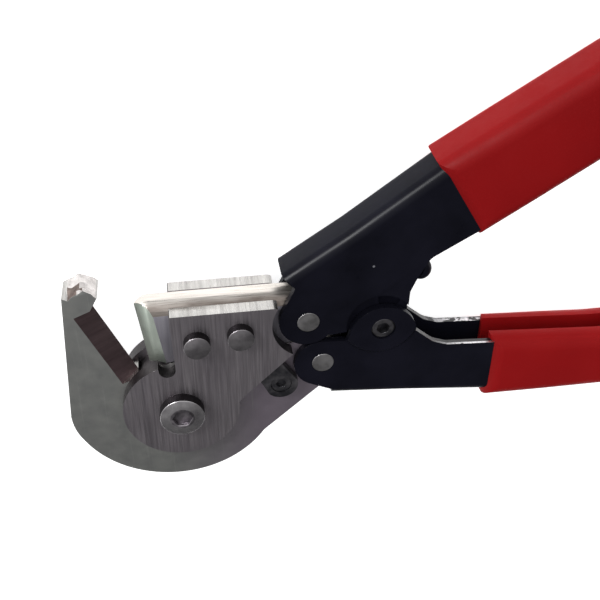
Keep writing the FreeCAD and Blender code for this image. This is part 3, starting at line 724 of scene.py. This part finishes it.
def break_nose(shape):
    """Chip the top of the hook: a peak near the middle, a deep chip at the front left corner."""
    low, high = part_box("hook_jaw")
    top = high.y
    line = top - NOSE_DEPTH
    whole = list(shape.faces) + list(shape.edges) + list(shape.verts)
    bmesh.ops.bisect_plane(shape, geom=whole, plane_co=(0, line, 0), plane_no=(0, 1, 0), dist=1e-7)
    crest = {face for face in shape.faces if face.normal.y > 0.75 and face.calc_center_median().y > line}
    crest = sliced(shape, crest, low.x, low.x + NOSE_LENGTH, 0, NOSE_CELL)
    crest = sliced(shape, crest, low.z, high.z, 2, NOSE_CELL)
    for vert in {vert for face in crest for vert in face.verts}:
        across = (vert.co.x - NOSE_PEAK) / HALF_JAW
        front = (vert.co.z - MIDDLE) / HALF_JAW
        slope = OUTER_FALL * max(-across, 0.0) ** 1.5 + INNER_FALL * max(across, 0.0) ** 1.3
        corner = CORNER_FALL * max(0.0, front + 0.1) * max(0.0, 0.35 - across)
        lumps = abs(noise.fractal(vert.co * 420.0, 0.8, 2.0, 2)) * LUMP_FALL
        grit = noise.noise(vert.co * 1500.0) * GRIT_FALL
        vert.co.y -= max(LEAST_FALL, slope + corner + lumps + grit) * MM
    print("nose:", len(crest), "small faces")
    return crest


tell(BROKEN_STEEL, FORGE_SCALE)

# %% [markdown]
# ### Which steel each face of the hook wears
# The flat faces, the ground bevel and the narrow edges were finished by different machines, so a
# face's own direction says which steel it wears. The walls near the hub are painted dark as shade
# under the side plates. Where the bevel runs out by the hub it is too thin to be rounded.

# %% Hook jaw
HUB_REACH = 15.0 * MM
NOSE_FOOT = 34 * MM
SCALE_EDGE = Vector((-22.4 * MM, 0, MIDDLE + 0.3 * MM))
SCALE_RAGGED = 1.3
BEVEL_END_REACH = 18 * MM
BEVEL_END = Vector((-4 * MM, 6 * MM))


def nose_finish(face):
    """Forge scale at the front left corner of the nose, with a ragged edge; bright steel elsewhere."""
    middle = face.calc_center_median()
    ragged = noise.noise(middle * 900.0) * SCALE_RAGGED * MM
    kept = middle.z > SCALE_EDGE.z + ragged and middle.x < SCALE_EDGE.x + ragged
    return FORGE_SCALE if kept else BROKEN_STEEL


def hook_finish(face):
    """Which steel a face wears: flat sides, ground bevel, hub walls or the narrow outer edges."""
    middle = face.calc_center_median()
    if faces_up_or_down(face):
        return HOOK_STEEL
    # Painted shade: the walls near the hub, under the side plates, are painted dark.
    if from_pivot(middle) < HUB_REACH:
        return PAINTED_SHADE_STEEL
    if face.normal.x < -0.5 and face.normal.y > 0.3 and middle.y > NOSE_FOOT:
        return FORGE_SCALE
    return HOOK_BEVEL if leans(face) else EDGE_STEEL


def at_bevel_end(place):
    beside_hub = place.x < BEVEL_END.x and place.y > BEVEL_END.y
    return from_pivot(place) < BEVEL_END_REACH and beside_hub


def dress_hook():
    shape = merged_copy("hook_jaw")
    crest = break_nose(shape)
    shape.normal_update()
    steels = (HOOK_STEEL, HOOK_BEVEL, EDGE_STEEL, BROKEN_STEEL, FORGE_SCALE, PAINTED_SHADE_STEEL)
    paint(shape, steels, lambda face: nose_finish(face) if face in crest else hook_finish(face))
    return settle(shape, "hook_jaw_dressed", "hook_jaw", steels, 0.15,
                  flat=(BROKEN_STEEL, FORGE_SCALE), spare=at_bevel_end)


dress_hook()

# %% [markdown]
# ## Blade
# The blade's top is a round crown, polished lengthwise, that dives at its front end to the cutting
# edge, and its ground bevels are smooth. A bevel on the top corners would be too small and too even.
# So the flat top is sliced both ways, and each strip falls by the height of a circle at that place.
# The end strips also step back a little, because the cutting edge under them leans.


# %% Blade
CROWN_RADIUS = 4.55 * MM
CROWN_END = 4.5 * MM
CROWN_FOOT = 26 * MM
CROWN_STRIP, CROWN_STEP = 0.5 * MM, 0.45 * MM
END_FALL = 1.6 * MM
REAR_SHARE = 0.3
EDGE_LEAN = 0.14


def round_crown(shape):
    """Slice the blade's flat top lengthwise and let its strips fall to a round section."""
    low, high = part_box("blade")
    top = {face for face in shape.faces
           if face.normal.y > 0.6 and face.calc_center_median().y > CROWN_FOOT}
    start = min(vert.co.x for face in top for vert in face.verts)
    top = sliced(shape, top, low.z, high.z, 2, CROWN_STRIP)
    top = sliced(shape, top, start, start + CROWN_END, 0, CROWN_STEP)
    for vert in {vert for face in top for vert in face.verts}:
        side = min(abs(vert.co.z - MIDDLE), HALF_JAW)
        fall = CROWN_RADIUS - math.sqrt(CROWN_RADIUS ** 2 - side ** 2)
        if vert.co.z < MIDDLE:
            fall *= REAR_SHARE
        end = max(0.0, 1 - (vert.co.x - start) / CROWN_END)
        drop = fall + END_FALL * end ** 2.5
        vert.co.y -= drop
        vert.co.x += drop * EDGE_LEAN * min(1.0, 3 * end)
    print("crown:", len(top), "small faces")
    return top


def blade_finish(face):
    if faces_up_or_down(face):
        return BLADE_FACE
    if face.normal.y > 0.6:
        return NICKEL
    return BLADE_BEVEL if leans(face) else EDGE_STEEL


def dress_blade():
    shape = merged_copy("blade")
    crown = round_crown(shape)
    shape.normal_update()
    steels = (BLADE_FACE, BLADE_BEVEL, NICKEL, EDGE_STEEL)
    paint(shape, steels, lambda face: NICKEL if face in crown else blade_finish(face))
    return settle(shape, "blade_dressed", "blade", steels, 0, flat=(BLADE_FACE, BLADE_BEVEL))


dress_blade()

# %% [markdown]
# ## Side plates
# The two side plates are laser cut and surface ground, with their burr knocked off. Each could be
# extruded again from its outline; a bevelled copy of its CAD node has the same outline and bores with
# no more work. The top edge is dressed bright, and the other cut walls are painted dark as shade.


# %% Side plates
PLATE_SHOULDER = 25 * MM


def plate_finish(face):
    """Brushed sides, a bright top edge, and painted shade on the other cut walls."""
    if faces_up_or_down(face):
        return PLATE_STEEL
    on_top = face.normal.y > 0.9 and face.calc_center_median().y > PLATE_SHOULDER
    return EDGE_STEEL if on_top else PAINTED_SHADE_STEEL


for plate in ("front_side_plate", "rear_side_plate"):
    dress(plate, (PLATE_STEEL, EDGE_STEEL, PAINTED_SHADE_STEEL), plate_finish, 0.2)

# %% [markdown]
# ## Blade rivets
# Each blade rivet has a tall turned head in front, with an upright wall, a rounded shoulder and a
# slightly domed top. Behind the jaw, its end is set low in a press. It could be stacked from cylinders
# and domes; spinning half of its outline round its own axis makes it closed and in one step.


# %% Blade rivets
def spun(profile, center, turns=48):
    """A closed round solid: (radius, height) points, in metres, spun about an upright axis."""
    shape = bmesh.new()
    verts = [shape.verts.new((center[0] + radius, center[1], height)) for radius, height in profile]
    edges = [shape.edges.new(pair) for pair in zip(verts, verts[1:])]
    bmesh.ops.spin(shape, geom=verts + edges, cent=(center[0], center[1], 0), axis=(0, 0, 1),
                   angle=2 * math.pi, steps=turns, use_merge=True)
    bmesh.ops.remove_doubles(shape, verts=shape.verts, dist=1e-7)
    bmesh.ops.recalc_face_normals(shape, faces=shape.faces)
    return shape


def head_outline(radius, base, rise, rim, shoulder):
    """Half the outline of a head, from its foot up to the middle of its slightly domed top."""
    points = [(radius, base), (radius, base + rim)]
    for n in range(1, 5):
        turn = math.radians(22.5 * n)
        points.append((radius - shoulder * (1 - math.cos(turn)), base + rim + shoulder * math.sin(turn)))
    edge_radius, edge_height = points[-1]
    domed = rise - rim - shoulder
    for n in range(1, 7):
        share = n / 6
        points.append((edge_radius * (1 - share), edge_height + domed * (1 - (1 - share) ** 2)))
    return points


SHOULDER = 0.22 * MM
FRONT_DOME = 0.35 * MM
REAR_DOME = 0.45 * MM


def is_wall(face):
    return abs(face.normal.z) < 0.2


def dress_rivet(node):
    """A pin with a tall turned head in front of the jaw and a low set head behind it."""
    low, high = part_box(node)
    plate_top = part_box("front_side_plate")[1].z
    radius = (high.x - low.x) / 2
    tall, short = high.z - plate_top, (2 * MIDDLE - plate_top) - low.z
    front = head_outline(radius, plate_top, tall, tall - SHOULDER - FRONT_DOME, SHOULDER)
    rear = head_outline(radius, plate_top, short, short - SHOULDER - REAR_DOME, SHOULDER)
    rear = [(out, 2 * MIDDLE - height) for out, height in rear]
    shape = spun(rear[::-1] + front, (low + high) / 2)
    steels = (RIVET_STEEL, PAINTED_SHADE_WALL)
    # Painted shade: the upright walls of the heads are nearly black.
    paint(shape, steels, lambda face: PAINTED_SHADE_WALL if is_wall(face) else RIVET_STEEL)
    return settle(shape, node + "_dressed", node, steels, 0, sharp=40.0)


for rivet in ("tip_rivet", "tail_rivet"):
    dress_rivet(rivet)

# %% [markdown]
# ## Pivot screw and plain pins
# The pivot screw is turned from one bar, with a drive socket in its head. Its CAD shape is already
# right, so a bevelled copy is enough, and only the finish changes: the socket is painted dull and dark
# and the head's wall nearly black, both as painted shade. The nut, the link rivets and the bushes are one
# steel all over.


# %% Pivot screw and plain pins
SOCKET_REACH = 3.0 * MM
SOCKET_DEEPEST = 9 * MM


def pivot_finish(face):
    """The drive socket and the head's wall are painted dark as shade; the rest is turned steel."""
    middle = face.calc_center_median()
    inside = from_pivot(middle) < SOCKET_REACH
    if inside and middle.z > MIDDLE + SOCKET_DEEPEST:
        return SOCKET_SHADE_STEEL
    return PAINTED_SHADE_WALL if not inside and is_wall(face) else PIVOT_STEEL


dress("pivot_screw", (PIVOT_STEEL, SOCKET_SHADE_STEEL, PAINTED_SHADE_WALL), pivot_finish, 0.25, 35.0)
dress("pivot_nut", (RIVET_STEEL,), bevel=0.3)
for node in ("upper_link_rivet", "lower_link_rivet", "handle_bush", "pivot_bush"):
    dress(node, (LINK_STEEL,), bevel=0.2)

# %% [markdown]
# ## Blackened screws and stops
# Small parts that are bought in black keep crisp edges, so each is a bevelled copy of its CAD shape
# with a narrow bevel. The bumper's block and screw are in the handle when it is dipped, so they wear
# its paint.

# %% Blackened screws and stops
for node in ("front_stop", "rear_stop", "stop_screw", "handle_bolt", "handle_nut", "bumper_nut"):
    dress(node, (BLACK_OXIDE,), bevel=0.15)
for node in ("bumper_block", "bumper_screw"):
    dress(node, (GLOSS_BLACK,), bevel=0.15)

# %% [markdown]
# ## Handles
# Each handle is one sheet folded into a channel. It could be folded again here from a flat strip, but
# the CAD already holds its folds, so a bevelled copy keeps them. Only the long cut edges of the lower
# channel's mouth differ: paint runs thin there and soon wears off.


# %% Handles
MOUTH_FROM = Vector((62 * MM, 8 * MM))


def lower_finish(face):
    """Bare steel on the cut edges that face up out of the lower handle's mouth."""
    middle = face.calc_center_median()
    in_mouth = middle.y > MOUTH_FROM.y and middle.x > MOUTH_FROM.x
    return BARE_EDGE if face.normal.y > 0.55 and in_mouth else GLOSS_BLACK


dress("upper_handle", (GLOSS_BLACK,), bevel=0.3)
dress("lower_handle", (GLOSS_BLACK, BARE_EDGE), lower_finish, 0.3)

# %% [markdown]
# ## Grips
# The handles were dipped in liquid vinyl, which draws into a skin with no flat faces. A sculpted or
# subdivided tube would lose its seat on the channel. So the CAD grip is turned level, sliced both ways
# and swelled by almost a millimetre in the middle of its two sides, and a wide bevel rounds its rims.

# %% Grips
GRIP_CELL = 4.0 * MM
GRIP_SWELL = 0.9 * MM
GRIP_SIDE = 6.0 * MM
MOUTH_FADE, TAIL_FADE = 8.0, 6.0


def dress_grip(node, slope):
    """Swell a grip's two sides between its long edges; slope is the handle's direction in degrees."""
    shape = merged_copy(node)
    turn = Matrix.Rotation(math.radians(-slope), 4, "Z")
    bmesh.ops.transform(shape, matrix=turn, verts=shape.verts)
    low = Vector([min(vert.co[n] for vert in shape.verts) for n in range(3)])
    high = Vector([max(vert.co[n] for vert in shape.verts) for n in range(3)])
    faces = sliced(shape, set(shape.faces), low.x, high.x, 0, GRIP_CELL)
    sliced(shape, faces, low.y, high.y, 1, GRIP_CELL)
    shape.normal_update()
    for vert in shape.verts:
        side = vert.co.z - MIDDLE
        if abs(side) < GRIP_SIDE:
            continue
        across = 2 * (vert.co.y - low.y) / (high.y - low.y) - 1
        along = (vert.co.x - low.x) / (high.x - low.x)
        ends = min(1.0, along * MOUTH_FADE) * min(1.0, (1 - along) * TAIL_FADE)
        vert.co.z += math.copysign(GRIP_SWELL * (1 - across ** 2) * ends, side)
    bmesh.ops.transform(shape, matrix=turn.inverted(), verts=shape.verts)
    return settle(shape, node + "_dipped", node, (RED_VINYL,), 0.7, 30.0, segments=4)


dress_grip("upper_grip", 32.5)
dress_grip("lower_grip", 0.5)
